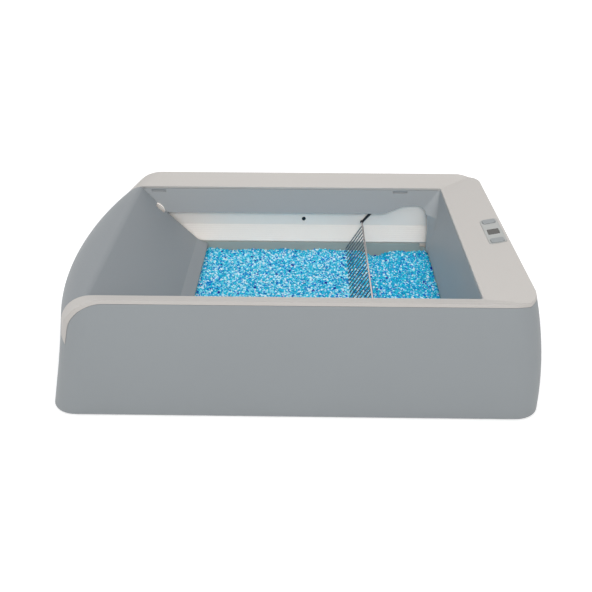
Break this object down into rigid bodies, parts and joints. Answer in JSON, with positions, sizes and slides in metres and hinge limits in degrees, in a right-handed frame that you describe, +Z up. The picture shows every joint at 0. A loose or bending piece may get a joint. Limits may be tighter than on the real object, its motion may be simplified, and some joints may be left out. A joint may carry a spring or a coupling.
{
  "type": "self-cleaning litter box",
  "caption": "Open-topped self-cleaning litter box: a lift-off frame with a powered rake and a hooded waste trap over a drop-in tray of crystal litter.",
  "frame": {"origin": "on the ground, in the middle of the footprint", "axes": "+X towards the control panel, +Y to the back, +Z up"},
  "size_m": [0.6949, 0.486, 0.1755],
  "materials": {
    "tray_plastic": "satin",
    "crystal_litter": "glossy",
    "shell_plastic": "satin",
    "bezel_plastic": "satin",
    "hood_plastic": "satin",
    "skirt_plastic": "satin",
    "liner_plastic": "satin",
    "black_plastic": "satin",
    "fascia_plastic": "satin",
    "key_plastic": "satin",
    "display_window": "glossy",
    "circuit_board": "satin",
    "steel": "brushed",
    "rod_chrome": "polished",
    "gear_plastic": "satin",
    "foot_rubber": "matte"
  },
  "bodies": {
    "tray": {"litter_tray": "tray_plastic", "litter_bed": "crystal_litter"},
    "rake": {"rake_rod": "rod_chrome", "rake_tines": "steel", "rake_arm_back": "black_plastic", "rake_arm_front": "black_plastic", "carriage_back": "gear_plastic", "carriage_front": "gear_plastic", "gearbox": "black_plastic", "drive_motor": "steel"},
    "pinion": {"drive_pinion": "gear_plastic"},
    "flap": {"waste_flap": "black_plastic"},
    "key_top": {"button_top": "key_plastic"},
    "key_bottom": {"button_bottom": "key_plastic"},
    "frame": {"outer_shell": "shell_plastic", "top_bezel": "bezel_plastic", "waste_hood": "hood_plastic", "inner_skirt": "skirt_plastic", "chassis_plate": "hood_plastic", "drive_rack": "gear_plastic", "power_jack": "black_plastic", "rubber_feet": "foot_rubber", "liner_back": "liner_plastic", "liner_front": "liner_plastic", "sensor_back": "black_plastic", "sensor_front": "black_plastic", "guide_rail_back": "steel", "guide_rail_front": "steel", "pivot_ring_back": "liner_plastic", "pivot_ring_front": "liner_plastic", "rail_brackets": "hood_plastic", "bracket_screws": "steel", "control_fascia": "fascia_plastic", "control_housing": "hood_plastic", "control_board": "circuit_board", "display_module": "black_plastic", "display_lens": "display_window", "key_switches": "black_plastic"}
  },
  "joints": [
    {"name": "frame_lift", "type": "slide", "parent": "tray", "child": "frame", "axis": [0, 0, 1], "range_m": [0, 0.2]},
    {"name": "rake_travel", "type": "slide", "parent": "frame", "child": "rake", "axis": [1, 0, 0], "range_m": [-0.245, 0.08]},
    {"name": "pinion_spin", "type": "hinge", "parent": "rake", "child": "pinion", "pos_m": [0.138, 0.2065, 0.062], "axis": [0, 1, 0], "range_deg": [-921, 302]},
    {"name": "flap_swing", "type": "hinge", "parent": "frame", "child": "flap", "pos_m": [-0.249, 0, 0.1154], "axis": [0, 1, 0], "range_deg": [0, 55]},
    {"name": "key_top_press", "type": "slide", "parent": "frame", "child": "key_top", "axis": [0.197, 0, -0.9804], "range_m": [0, 0.0008], "stiffness_N_per_m": 400},
    {"name": "key_bottom_press", "type": "slide", "parent": "frame", "child": "key_bottom", "axis": [0.197, 0, -0.9804], "range_m": [0, 0.0008], "stiffness_N_per_m": 400}
  ],
  "couplings": [
    {"joint": "pinion_spin", "follows": "rake_travel", "rad_per_m": 65.45}
  ]
}
